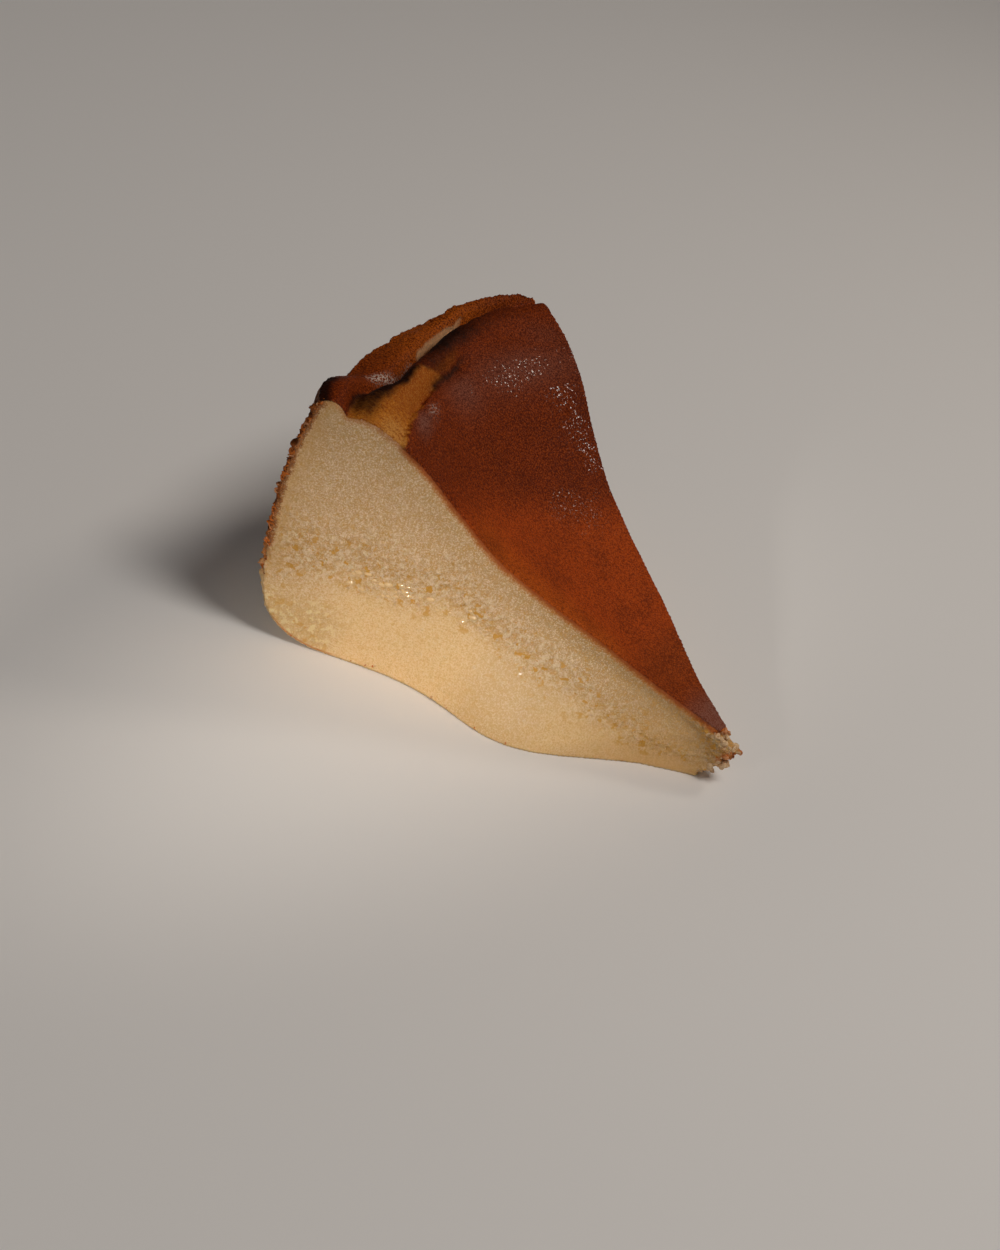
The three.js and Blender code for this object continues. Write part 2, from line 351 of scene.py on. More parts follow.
def pleatDepth(turn, share):
    depth = np.zeros_like(turn)
    for foot, lean, deep in form["pleats"]:
        away = np.radians(turn - foot - lean * share) * place["cakeRadius"]
        depth = np.maximum(depth, deep * np.exp(-np.abs(away) / form["pleatHalfWidth"]))
    top = form["pleatTop"]
    fading = 1 - top["shallower"] * smoothStep(share, *top["share"])
    return depth * smoothStep(share, *form["pleatStart"]) * fading


def sculptSlice(piece):
    points = getPoints(piece)
    r, turn = findPlace(points)
    z, out, tipWidth = points[:, 2], np.maximum(r, 0), place["tipWidth"]
    crown = crownHeight(out)
    share = np.clip(z / crown, 0, 1)
    width = np.clip(turn / place["turn"], 0, 1)
    slope = (crownHeight(r + 0.5) - crownHeight(r - 0.5)) * smoothStep(r, *form["slopeFade"])   # over 1 mm
    pleats = pleatDepth(turn, share)
    setFields(piece, r=r, turn=turn, share=share,
              underCrust=(crown - z) / np.hypot(1, slope),
              underRind=rindRadius(z) - r,
              overBase=z - baseHeight(r),
              insideNear=out * np.sin(np.radians(turn)) + tipWidth * width,
              insideFar=out * np.sin(np.radians(place["turn"] - turn)) + tipWidth * (1 - width),
              pleat=pleats / form["deepPleat"])

    reach, cakeRadius = form["pleatReach"], place["cakeRadius"]
    pull = pleats * np.clip((r - reach) / (cakeRadius - reach), 0, 1)
    torn = curveThrough(form["tornTip"], share) * np.clip(1 - r / cakeRadius, 0, 1)
    outward = torn - pull
    angle = np.radians(turn - place["turn"] / 2)
    points[:, 0] -= outward * np.cos(angle)
    points[:, 1] += outward * np.sin(angle) * smoothStep(r, *form["tipSideways"])
    points[:, 1] -= sagOut(form["nearSag"], r, share) * (1 - width) ** form["sagReach"]
    points[:, 1] += sagOut(form["farSag"], r, share) * width ** form["sagReach"]
    points[:, 2] = np.maximum(z + (topHeight(out, turn) - crown) * share, 0)
    setPoints(piece, points)


# Fine relief: crumb, pits, crust and rind

relief = {
    # where each surface gives way to the next, by the fields
    "surfaces": {"torn": (0.9, 0.4), "cut": (0.6, 0.25), "cutTop": (0.3, 1.2), "top": (0.7, 0.3),
                 "rind": (1.0, 0.4), "rindTop": (0.5, 2), "offBase": (0.1, 1.2)},
    # the smooth core of the cuts ends at this share: r, share
    "core": [(0, 0.16), (6, 0.2), (15.7, 0.31), (25.5, 0.42), (35, 0.5), (50, 0.53), (62, 0.53), (73, 0.43),
             (88, 0.35), (94, 0.31)],
    "coreWobble": [(0.05, 9, 1), (0.03, 3.5, 2)],      # noise layers: height, how far apart, seed
    "coreFade": 0.14,
    "coreEdge": {"r": (82, 93), "strength": 0.45},     # it is weaker by the rind
    "coreSmoothing": 0.86,
    "band": {"up": 0.05, "halfHeight": 0.15},          # the crumbliest, pitted band along its end
    "corner": {"r": (79, 88), "z": (15, 7), "band": 0.5},      # the lower corner by the rind is crumbly again
    "tipR": (11, 3),                                           # and so is the tip
    "pits": {"flatness": 2.2, "holes": [(1, 1.15, 11), (0.6, 0.575, 12)], "clusters": [(0.35, 5.5, 13)],
             "offBand": 0.72, "onBand": 0.3, "onCore": 0.35, "fade": 0.35, "depth": 0.3},
    "crustWaves": [(0.16, 9, 4)],
    "cutWaves": [(0.3, 11, 5)],
    "fineCut": 0.35,           # the crumb away from the band is this much as rough
    # the rind's ragged edges by the cuts, in clusters
    "teeth": {"layers": [(1, 1.2, 14), (0.5, 0.6, 15)], "height": 1.3, "usual": 0.6,
              "clusters": [(1.6, 6, 16)], "most": 1.2, "byCuts": (3.5, 0.5), "share": (0.1, 0.3)},
    # the burnt curl of the rim's corner
    "nub": {"out": 1.3, "turn": 3.2, "halfTurn": 2.6, "under": (3, 0.5), "share": (0.9, 0.98)},
    "torn": {"layers": [(1, 2.2, 6), (0.7, 1.0, 7)], "height": 2.2, "share": (0.98, 0.9)},
    # the dome's crust lies over the lobe, with a step at its uneven edge
    "overlap": {"height": 1.0, "ragged": 0.3, "edge": (0.4, -0.4), "past": (-7, 0), "turn": (21, 15)},
    "roll": {"outside": -2.2, "halfWidth": 1.8, "out": 1.1, "start": (12, 18), "end": (50, 40)},
    "rimFlakes": {"under": (3, 0.8), "strength": 0.7},
    # modifiers: the texture's kind and size, how far it moves the surface
    "lumps": ("CLOUDS", 0.8, 0.7),
    "crumbs": ("CLOUDS", 0.5, 0.4),
    "pebbles": ("CLOUDS", 1.0, 0.2),
    "flakes": ("CLOUDS", 1.5, 0.8),
}


def findSurfaces(points, at):
    # how much each point belongs to the torn tip, a cut, the top and the rind, off the base
    ends = relief["surfaces"]
    tornTip = smoothStep(at.r, *ends["torn"])
    cut = np.maximum(smoothStep(np.minimum(at.insideNear, at.insideFar), *ends["cut"]), tornTip)
    cut *= smoothStep(at.underCrust, *ends["cutTop"])
    top = smoothStep(at.underCrust, *ends["top"]) * (1 - cut)
    rind = smoothStep(at.underRind, *ends["rind"]) * smoothStep(at.underCrust, *ends["rindTop"])
    offBase = smoothStep(points[:, 2], *ends["offBase"])
    return SimpleNamespace(tornTip=tornTip, cut=cut, top=top, rind=rind, offBase=offBase)


def cutFields(points, r, share):
    # how cored each spot of the cuts is, how near the band of pits round the core, and the lower corner
    line = curveThrough(relief["core"], r) + layered(points, relief["coreWobble"])
    core = smoothStep(share, line + relief["coreFade"], line - relief["coreFade"])
    core *= mix(1, relief["coreEdge"]["strength"], smoothStep(r, *relief["coreEdge"]["r"]))
    low, crumbly = relief["corner"], relief["band"]
    corner = smoothStep(r, *low["r"]) * smoothStep(points[:, 2], *low["z"])
    band = bell((share - line - crumbly["up"]) / crumbly["halfHeight"])
    band = np.maximum(band, low["band"] * corner)
    return core * (1 - corner), np.maximum(band, smoothStep(r, *relief["tipR"])), corner


def findPits(points, band, core):
    # small torn pits, flat and in clusters, most of them along the core's edge
    pits = relief["pits"]
    rough = layered(points * (1, 1, pits["flatness"]), pits["holes"]) + layered(points, pits["clusters"])
    needed = mix(pits["offBand"], pits["onBand"], band) + pits["onCore"] * core
    return smoothStep(rough, needed, needed + pits["fade"])


def coarseRelief(points, at, on, pits):
    # how far each point moves out along its normal
    out = -relief["pits"]["depth"] * pits * on.cut
    out += layered(points, relief["crustWaves"]) * on.top
    out += layered(points, relief["cutWaves"]) * on.cut
    teeth, lap = relief["teeth"], relief["overlap"]
    byCuts = smoothStep(np.minimum(at.insideNear, at.insideFar), *teeth["byCuts"])
    ragged = layered(points, teeth["layers"])
    gathered = np.clip(teeth["usual"] + layered(points, teeth["clusters"]), 0, teeth["most"])
    out += teeth["height"] * ragged * gathered * byCuts * on.rind * smoothStep(at.share, *teeth["share"])
    past = at.r - curveThrough(form["lobeEdge"], at.turn)
    out += (lap["height"] * smoothStep(past + lap["ragged"] * ragged, *lap["edge"])
            * smoothStep(past, *lap["past"]) * smoothStep(at.turn, *lap["turn"]) * on.top)
    return out * on.offBase


def rollOut(at, on):
    # how far the swollen edge leans over the crack, and the rim's corner over the rind
    roll, nub = relief["roll"], relief["nub"]
    rolled = (roll["out"] * bell((at.outside - roll["outside"]) / roll["halfWidth"]) * on.top
              * between(at.turn, roll["start"], roll["end"]))
    return rolled + (nub["out"] * bell((at.turn - nub["turn"]) / nub["halfTurn"])
                     * smoothStep(at.underRind, *nub["under"]) * smoothStep(at.share, *nub["share"]))


def displace(piece, group):
    kind, size, depth = relief[group]
    texture = bpy.data.textures.new(group, kind)
    texture.noise_scale = size * mm
    before = getPoints(piece)
    setWeights(piece, group, getField(piece, group))
    applyModifier(piece, "DISPLACE", texture=texture, texture_coords="LOCAL", direction="NORMAL",
                  strength=depth * mm, mid_level=0.5, vertex_group=group)
    steps = np.linalg.norm(getPoints(piece) - before, axis=1)
    print(group, "moved at most", steps.max().round(3))


def roughenSlice(piece):
    points, normals = getPoints(piece), getNormals(piece)
    at = getFields(piece, "r", "turn", "share", "outside", "underCrust", "underRind", "insideNear",
                   "insideFar")
    on = findSurfaces(points, at)
    core, band, corner = cutFields(points, at.r, at.share)
    pits = findPits(points, band, core)
    setFields(piece, core=core, band=band, corner=corner, pits=pits)

    steps = coarseRelief(points, at, on, pits)[:, None] * normals
    rolled, angle, torn = rollOut(at, on), np.radians(at.turn - place["turn"] / 2), relief["torn"]
    steps[:, 0] -= rolled * np.cos(angle)
    steps[:, 1] += rolled * np.sin(angle)
    steps[:, 0] += (torn["height"] * layered(points, torn["layers"]) * on.tornTip * on.offBase
                    * smoothStep(at.share, *torn["share"]))
    setPoints(piece, points + steps)

    rough = mix(relief["fineCut"], 1, np.maximum(band, on.tornTip))
    crumbly = on.cut * on.offBase * (1 - relief["coreSmoothing"] * core) * rough
    flakes = relief["rimFlakes"]
    rimEdge = smoothStep(at.underRind, *flakes["under"]) * on.top
    flaky = np.maximum(on.rind * (1 - on.cut), flakes["strength"] * rimEdge) * on.offBase
    setFields(piece, lumps=crumbly, crumbs=crumbly, pebbles=on.top * on.offBase, flakes=flaky)
    for group in ("lumps", "crumbs", "pebbles", "flakes"):
        displace(piece, group)
    piece.vertex_groups.clear()


# How the baking browned it: fields from 0 to 1 that the material mixes its colours by

bake = {
    "wander": (5, 8),          # soft and ragged noise that moves the edges: how far apart, seed
    "ragged": (1.6, 9),        # and below, stray says how far by each, in millimetres or degrees
    # burnt along the crack, and painted shade down in it: by turn, from how far inside it, faint, to how far,
    # full, and how strongly
    "crest": {"faint": [(0, -7)], "full": [(0, -3)], "pastLobe": (-1.4, 0), "stray": (0.7, 0.5),
              "along": [(13, 0.5), (19, 0.6), (24, 1), (30, 1), (36, 0.6), (41, 0.35), (47, 0.1)]},
    "crease": {"faint": [(0, -7), (7, -6.8), (11, -5), (16, -4)],
               "full": [(0, -3.6), (7, -3.8), (11, -3.2), (16, -2.9)],
               "along": [(0, 0.2), (3, 0.8), (8, 1), (22, 1)], "pastLobe": (1.4, 0), "stray": (0.7, 0.5)},
    "outerEdge": {"outside": (1.0, 0.5), "stray": (0, 0.3)},     # and both end this far outside it
    "nub": {"outside": (3.4, 4.8), "turn": (9, 5), "stray": (1.5, 0)},
    # the golden lobe at the near corner, and where it ends: r, turn
    "lobe": {"inner": (-0.4, 0.4), "outer": (0.4, -0.4), "end": (0.5, -0.5), "stray": (0.6, 0.9)},
    "lobeEnd": {"line": [(80, 22), (83, 22), (85, 20.5), (88, 15), (92, 11)], "stray": (0, 0.6)},
    "lobePale": {"turn": (8, 1), "r": 84, "halfLength": 4.5, "stray": (1, 0)},
    # the dark line along the inner fold, which is painted shade, and the orange brown tongue outside it
    "fold": {"halfWidth": 0.8, "start": (15, 18), "end": (31, 25), "strength": 0.85, "stray": (0, 0.4)},
    "tongue": {"outside": 1.5, "halfWidth": 0.7, "start": (19, 21), "end": (29, 25), "strength": 0.4},
    # the painted highlight: whitish specks along the rim's inner edge (turn, outside), and one more patch by
    # the lobe
    "bloom": {"halfWidth": 1.0, "start": (11, 13), "end": (23, 20.5),
              "line": [(11, 4), (14, 2.9), (16, 1.2), (18, 0), (21, 0.4), (23, 0.4)]},
    # patches: r, turn and half their sizes, strength
    # painted highlight: a patch of whitish specks by the lobe
    "paintedHighlightPatches": [(80.3, 12.5, 0.8, 1.3, 0.7)],
    # painted sheen: greyish, purplish reflection on patches of the crust
    "paintedSheenPatches": [(80.3, 8, 1.6, 2.6, 0.9), (79.5, 23, 4, 5, 0.55), (80, 38, 4, 12, 0.5),
                    (87, 46, 4, 5, 0.2)],
    "darkPatches": [(72, 49, 13, 5, 0.55), (80, 33, 5, 5, 0.25)],
    "darkStray": (1, 2),       # how far the soft noise moves these along r and turn
    # the painted sheen: strong at the tip, and its patches fade out towards the crack
    "plum": {"tip": (11, 4), "outside": (-5, -7)},     # greyish purple, also at the tip
    "rimGold": {"line": [(0, 0), (9, 0.1), (17, 0.3), (23, 0.8), (36, 0.9), (41, 0.35), (50, 0.15)],
                "outside": (0.2, 1.0), "stray": (2, 0)},
    "cream": {"outside": 1.6, "halfWidth": 0.7, "start": (21, 24.5), "end": (38, 33), "stray": (0, 0.3)},
    # the crust is a lighter orange brown up to here at the near cut, and less far out at the far one
    "lighter": {"r": (73, 61), "tilt": 0.4, "tiltEnd": 38, "stray": (2, 0)},
    # lighter by the near cut: partly paler browning, partly painted light
    "nearGlow": {"turn": (13, 0), "start": (20, 30), "end": (66, 58), "stray": (1, 0)},
    "darkTip": {"r": (27, 17), "stray": (1.5, 0)},
    "lobeCut": (80, 83),       # from here out the cut has no brown line under the crust
    # the torn tip: brown right under the crust, and a browned scrap lower down
    "tornBrown": {"r": (3.5, 1.5), "share": (0.84, 0.93), "stray": (0, 0.03)},
    "scrap": {"r": (2, 0.8), "share": 0.58, "halfHeight": 0.11, "stray": (0, 0.04)},
    "footBrown": {"r": (80, 85), "over": (0.9, 0.4)},
}


def strayed(x, part, at):
    # x, moved by the part's own share of the soft and the ragged noise
    wander, ragged = part["stray"]
    return x + wander * at.wander + ragged * at.ragged


def patches(name, at, stray=(0, 0)):
    strongest = np.zeros_like(at.r)
    for r, turn, halfLength, halfTurn, strength in bake[name]:
        patch = (strength * bell((at.r + stray[0] * at.wander - r) / halfLength)
                 * bell((at.turn + stray[1] * at.wander - turn) / halfTurn))
        strongest = np.maximum(strongest, patch)
    return strongest


def burntAndCrackShade(at):
    # burnt crust along the crack and at the nub, with painted shade in the crack and along the fold
    outerEdge = smoothStep(strayed(at.outside, bake["outerEdge"], at), *bake["outerEdge"]["outside"])
    burnt = np.zeros_like(at.r)
    for part in (bake["crest"], bake["crease"]):
        turn = at.turn + at.wander
        along, faint, full = (linesThrough(part[line], turn) for line in ("along", "faint", "full"))
        there = smoothStep(at.pastLobe, *part["pastLobe"])
        inside = smoothStep(strayed(at.outside, part, at), faint, full)
        burnt = np.maximum(burnt, inside * along * there * outerEdge)
    nub, fold = bake["nub"], bake["fold"]
    onNub = smoothStep(at.outside, *nub["outside"]) * smoothStep(strayed(at.turn, nub, at), *nub["turn"])
    # a dark line along the inner fold, painted shade
    foldLine = (fold["strength"] * bell(at.pastFold / fold["halfWidth"])
                * between(at.turn, fold["start"], fold["end"]))
    return np.maximum(np.maximum(burnt, onNub), foldLine)


def goldenFields(at):
    # the lobe with the tongue, its pale part, the rim's gold, the cream streak in the crack and the painted
    # sheen
    edges, tongue, pale = bake["lobe"], bake["tongue"], bake["lobePale"]
    lobe = (smoothStep(strayed(at.r, edges, at) - curveThrough(form["lobeEdge"], at.turn), *edges["inner"])
            * smoothStep(at.pastLobe, *edges["end"]) * smoothStep(at.outside, *edges["outer"]))
    onTongue = (bell((at.pastFold - tongue["outside"]) / tongue["halfWidth"])
                * between(at.turn, tongue["start"], tongue["end"]))
    lobePale = (smoothStep(strayed(at.turn, pale, at), *pale["turn"])
                * bell((at.r - pale["r"]) / pale["halfLength"]) * lobe)
    gold, cream = bake["rimGold"], bake["cream"]
    golden = linesThrough(gold["line"], strayed(at.turn, gold, at))
    rimGold = golden * smoothStep(at.outside, *gold["outside"])
    streak = (bell(strayed(at.outside - cream["outside"], cream, at) / cream["halfWidth"])
              * between(at.turn, cream["start"], cream["end"]))
    # the painted sheen, a greyish reflection at the tip and in patches, but not on the lobe
    plum = bake["plum"]
    purple = np.maximum(smoothStep(at.r, *plum["tip"]),
                        patches("paintedSheenPatches", at) * smoothStep(at.outside, *plum["outside"]))
    return {"lobe": np.maximum(lobe, tongue["strength"] * onTongue), "lobePale": lobePale,
            "rimGold": rimGold, "cream": streak, "plum": purple * (1 - lobe)}


def crustFields(at):
    # where the crust is lighter, lighter again by the near cut (partly paler browning, partly painted light),
    # darker, and where the painted highlight lies
    light, glow, tip, shine = bake["lighter"], bake["nearGlow"], bake["darkTip"], bake["bloom"]
    tilted = at.r + light["tilt"] * np.minimum(at.turn, light["tiltEnd"])
    bloom = (bell((at.outside - curveThrough(shine["line"], at.turn)) / shine["halfWidth"])
             * between(at.turn, shine["start"], shine["end"]))
    return {"lighter": smoothStep(strayed(tilted, light, at), *light["r"]),
            "nearGlow": smoothStep(strayed(at.turn, glow, at), *glow["turn"])
            * between(at.r, glow["start"], glow["end"]),
            "dark": patches("darkPatches", at, bake["darkStray"]),
            "darkTip": smoothStep(strayed(at.r, tip, at), *tip["r"]),
            "bloom": np.maximum(bloom, patches("paintedHighlightPatches", at))}


def singedField(at):
    # browned parts of the torn tip, and the foot by the rind
    brown, scrap, foot = bake["tornBrown"], bake["scrap"], bake["footBrown"]
    underCrust = smoothStep(at.r, *brown["r"]) * smoothStep(strayed(at.share, brown, at), *brown["share"])
    onScrap = (smoothStep(at.r, *scrap["r"])
               * bell(strayed(at.share - scrap["share"], scrap, at) / scrap["halfHeight"]))
    onFoot = smoothStep(at.r, *foot["r"]) * smoothStep(at.overBase, *foot["over"])
    return np.maximum(np.maximum(underCrust, onScrap), onFoot)


def brownSlice(piece):
    points = getPoints(piece)
    at = getFields(piece, "r", "turn", "share", "overBase")
    at.wander, at.ragged = unevenness(points, *bake["wander"]), unevenness(points, *bake["ragged"])
    at.outside = at.r - curveThrough(form["crack"], at.turn)
    at.pastLobe = strayed(at.turn, bake["lobeEnd"], at) - linesThrough(bake["lobeEnd"]["line"], at.r)
    at.pastFold = strayed(at.r - curveThrough(form["foldLine"], at.turn), bake["fold"], at)
    setFields(piece, outside=at.outside, burnt=burntAndCrackShade(at), singed=singedField(at),
              lobeCut=smoothStep(at.r, *bake["lobeCut"]), **goldenFields(at), **crustFields(at))


cheesecake = addSliceBody()
bluntTip(cheesecake)
applyModifier(cheesecake, "REMESH", mode="VOXEL", voxel_size=section["voxel"] * mm)
print("even mesh", len(cheesecake.data.polygons))
thinSmoothFaces(cheesecake)
sculptSlice(cheesecake)
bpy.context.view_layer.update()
brownSlice(cheesecake)
roughenSlice(cheesecake)
onlySelect(cheesecake)
bpy.ops.object.shade_smooth()
cheesecake.data.calc_loop_triangles()
print("roughened", len(cheesecake.data.loop_triangles), "triangles")


# Materials

class Wire:
    # an output of the material being made; sums of wires add Math nodes
    tree = None

    def __init__(self, socket):
        self.socket = socket

    @classmethod
    def node(cls, kind, settings=None, sockets=None, output=0):
        made = cls.tree.nodes.new("ShaderNode" + kind)
        for name, value in (settings or {}).items():
            setattr(made, name, value)
        for name, value in (sockets or {}).items():
            if isinstance(value, Wire):
                cls.tree.links.new(value.socket, made.inputs[name])
            else:
                made.inputs[name].default_value = value
        return cls(made.outputs[output])

    @classmethod
    def calc(cls, operation, a, b, clamp=False):
        return cls.node("Math", {"operation": operation, "use_clamp": clamp}, {0: a, 1: b})

    def __add__(self, other):
        return Wire.calc("ADD", self, other)

    def __sub__(self, other):
        return Wire.calc("SUBTRACT", self, other)

    def __rsub__(self, other):
        return Wire.calc("SUBTRACT", other, self)

    def __mul__(self, other):
        return Wire.calc("MULTIPLY", self, other)

    __radd__, __rmul__ = __add__, __mul__

    def clamped(self):
        return Wire.calc("ADD", self, 0.0, clamp=True)

    def ramp(self, start, end):
        # 0 at start and 1 at end, smoothly
        return Wire.node("MapRange", {"interpolation_type": "SMOOTHSTEP"},
                         {"Value": self, "From Min": start, "From Max": end})


speckle = {
    # noise from 0 to 1 on the piece's own coordinates: how far apart its blots are, detail, roughness
    "grain": (0.34, 2, 0.7),
    "fine": (0.42, 2, 0.6),
    "medium": (1.15, 3, 0.6),
    "broad": (9, 3, 0.5),
    "pores": (2.0, 2, 0.6),
    "blotches": (6, 5, 0.65),
    "moist": (1.3, 2, 0.5),
    "sparkles": (0.42, 1, 0.5),
    "crumb": (0.5, 3, 0.7),
}
pebbleSize = 0.7

spots = {
    # where a noise passes the first level its spots start, and at the second they are full
    "paleGrain": ("grain", 0.5, 0.62),
    "goldGrain": ("grain", 0.5, 0.37),
    "paleCrumb": ("medium", 0.5, 0.62),
    "pitCrumb": ("medium", 0.5, 0.36),
    "strawSpots": ("medium", 0.52, 0.6),
    "poreSpots": ("pores", 0.6, 0.66),
    "edgeGrain": ("grain", 0.38, 0.56),
    "moistSpots": ("moist", 0.66, 0.72),
    "lobeGrain": ("grain", 0.48, 0.6),
    "lobePatches": ("medium", 0.48, 0.6),
    "lobeSpecks": ("grain", 0.5, 0.38),
    "crustClouds": ("broad", 0.42, 0.68),
    "crustPatches": ("medium", 0.52, 0.68),
    "crustGrain": ("grain", 0.47, 0.59),
    "crustSpecks": ("grain", 0.5, 0.36),
    "plumSpecks": ("grain", 0.62, 0.44),
    "bloomSpecks": ("fine", 0.46, 0.58),
    "sparkleSpots": ("sparkles", 0.65, 0.72),
    "rindBlotches": ("blotches", 0.4, 0.62),
    "rindGrain": ("grain", 0.5, 0.62),
    "rindFlecks": ("fine", 0.6, 0.72),
    "basePatches": ("medium", 0.4, 0.7),
    "crumbSpots": ("crumb", 0.4, 0.65),
}


def field(name):
    return Wire.node("Attribute", {"attribute_name": name}, output=2)


def tint(factor, a, b):
    # a colour between a and b, which are wires or names of colours
    a, b = ((*colours[c], 1) if isinstance(c, str) else c for c in (a, b))
    return Wire.node("Mix", {"data_type": "RGBA"}, {0: factor, 6: a, 7: b}, output=2)


def painted(colour, *layers):
    # a colour under layers: how much of each, and its colour
    for amount, over in layers:
        colour = tint(amount, colour, over)
    return colour


def mottle(name):
    apart, detail, roughness = speckle[name]
    where = Wire.node("TexCoord", output=3)
    return Wire.node("TexNoise", None, {"Vector": where, "Scale": 1000 / apart, "Detail": detail,
                                        "Roughness": roughness})


def cells(apart):
    where = Wire.node("TexCoord", output=3)
    return Wire.node("TexVoronoi", None, {"Vector": where, "Scale": 1000 / apart})


def bump(height):
    # a bump whose height is in millimetres
    return Wire.node("Bump", None, {"Height": height, "Distance": mm, "Strength": 1.0})


def startMaterial(name):
    material = bpy.data.materials.new(name)
    material.use_nodes = True
    material.node_tree.nodes.clear()
    Wire.tree = material.node_tree
    return material


def finishMaterial(shader):
    out = Wire.tree.nodes.new("ShaderNodeOutputMaterial")
    Wire.tree.links.new(shader.socket, out.inputs["Surface"])


colours = {
    "curd": (0.69, 0.445, 0.24),
    "curdPale": (0.92, 0.71, 0.47),
    "curdCore": (0.86, 0.575, 0.28),
    "curdTip": (0.76, 0.46, 0.19),
    # painted shade for the curd, under the crust and on its bulge
    "curdShade": (0.46, 0.27, 0.105),
    "curdGold": (0.66, 0.38, 0.13),
    "curdYellow": (0.78, 0.52, 0.22),
    "curdStraw": (0.93, 0.74, 0.38),
    "curdAmber": (0.55, 0.19, 0.03),
    "pit": (0.68, 0.34, 0.06),
    "underCrust": (0.42, 0.1, 0.02),
    "singed": (0.56, 0.15, 0.025),
    "crust": (0.175, 0.022, 0.0012),
    "crustLight": (0.375, 0.05, 0.0033),
    # crustGlow: lighter crust by the near cut, partly paler browning and partly painted light
    "crustGlow": (0.45, 0.078, 0.005),
    "crustTip": (0.25, 0.038, 0.003),
    "crustDark": (0.07, 0.008, 0.0008),
    "crustSpeck": (0.46, 0.09, 0.012),
    "burnt": (0.014, 0.003, 0.0006),
    "lobe": (0.48, 0.15, 0.012),
    "lobePale": (0.55, 0.24, 0.05),
    "lobeBrown": (0.26, 0.052, 0.003),
    "rim": (0.14, 0.017, 0.001),
    "rimGold": (0.4, 0.085, 0.004),
    # painted sheen: a greyish, purplish reflection on the crust
    "plum": (0.22, 0.095, 0.068),
    # painted highlight: whitish specks
    "bloom": (0.62, 0.5, 0.42),
    "rind": (0.27, 0.075, 0.017),
    "rindPale": (0.52, 0.34, 0.17),
    "rindGold": (0.5, 0.19, 0.05),
    "rindBrown": (0.2, 0.05, 0.012),
    "base": (0.64, 0.43, 0.2),
}

finish = {
    # the curd: r, and mm under the crust, in from the rind or over the base
    "tip": (36, 8),
    "paler": (6, 40),
    # painted shade: the curd darker under the crust, more so towards the tip, and on the core's bulge
    "shadeUnder": (11, 3),
    "shadeR": (56, 30),
    "shadeOnBulge": ((58, 47), (28, 38)),        # a shade on the core, from the first to the second
    "amber": (2.2, 0.9),
    "brown": (1.3, 0.6),
    "goldByRind": (8, 0),
    "goldOver": (8, 16),
    "brownByRind": (1.9, 1.1),
    "brownOver": (12, 20),
    # the crust: outside the crack, turn, and by the fields
    "rim": (0.0, 1.0),
    "lobeBrown": (2, 10),
    "lobePale": (0.35, 0.9),
    "cream": (0.3, 0.9),
    # the rind: over the base, and by the field
    "gold": (9, 18),
    "rind": (13, 26),
    "blotches": (16, 30),
    "pleat": (0.1, 0.7),
    # where the surfaces meet
    "onTop": (0.5, 0.25),
    "onRind": (0.6, 0.35),
    "onBase": (0.5, 0.3),
    # where the crust sparkles: r, outside
    "sparkleR": (40, 76),
    "sparkleOutside": (-8, -11),
    # heights of the bumps, in millimetres
    "crumbHeights": (0.3, 0.3),            # coarse, fine
    "pebbleHeights": (-0.16, 0.14),        # the pebbles, and the fine grit on them
}


class Sources:
    # the noises, their spots and the piece's fields, each made when it is first named
    def __getattr__(self, name):
        if name in spots:
            of, start, full = spots[name]
            wire = getattr(self, of).ramp(start, full)
        else:
            wire = mottle(name) if name in speckle else field(name)
        setattr(self, name, wire)
        return wire


def moved(wire, w, **amounts):
    # the wire, moved up and down by so much of each noise
    for name, amount in amounts.items():
        wire = wire + (getattr(w, name) - 0.5) * amount
    return wire


def paintCurd(w):
    # the cut curd, with painted shade under the crust and on the bulge of its core
    shaded = 0.28 + w.r.ramp(*finish["shadeR"]) * 0.6
    bulgeShadeStart, bulgeShadeEnd = finish["shadeOnBulge"]
    curd = painted(
        "curd",
        (w.core, "curdCore"),
        (w.r.ramp(*finish["tip"]), "curdTip"),
        # painted shade under the crust, stronger towards the tip, and on the core's bulge
        (w.underCrust.ramp(*finish["shadeUnder"]) * shaded, "curdShade"),
        (w.r.ramp(*bulgeShadeStart) * w.r.ramp(*bulgeShadeEnd) * w.core * 0.35, "curdShade"))

    # its grain, which is finer and fainter on the core, and its pores
    offTip = 0.3 + w.r.ramp(*finish["paler"]) * 0.7
    curd = painted(
        curd,
        (w.paleGrain * (0.85 - w.core * 0.4) * offTip, "curdPale"),
        (w.goldGrain * (0.95 - w.core * 0.4), "curdGold"),
        (w.paleCrumb * (0.2 + w.band * 0.5) * (1 - w.core * 0.7) * offTip, "curdPale"),
        (w.pitCrumb * (0.15 + w.band * 0.32) * (1 - w.core * 0.6), "pit"),
        (w.corner * (0.2 + w.medium * 0.6), "curdYellow"),
        (w.corner * w.strawSpots * 0.6, "curdStraw"),
        (w.pits * 0.6, "pit"),
        (w.poreSpots * (0.2 + w.band * 0.8), "pit"))

    # its browned edges, under the crust and by the rind
    underCrust = moved(w.underCrust, w, medium=1.0, grain=1.2)
    golden = moved(w.underRind, w, medium=2.0).ramp(*finish["goldByRind"])
    brown = moved(w.underRind, w, medium=2.4, grain=2.4).ramp(*finish["brownByRind"])
    return painted(
        curd,
        (underCrust.ramp(*finish["amber"]) * (0.9 - w.lobeCut * 0.5), "curdAmber"),
        (underCrust.ramp(*finish["brown"]) * (1 - w.lobeCut * 0.7), "underCrust"),
        (golden * w.overBase.ramp(*finish["goldOver"]) * 0.6, "curdGold"),
        (brown * w.overBase.ramp(*finish["brownOver"]) * 0.9, tint(w.edgeGrain, "rindGold", "rindBrown")),
        (w.singed * (0.5 + w.medium), "singed"))


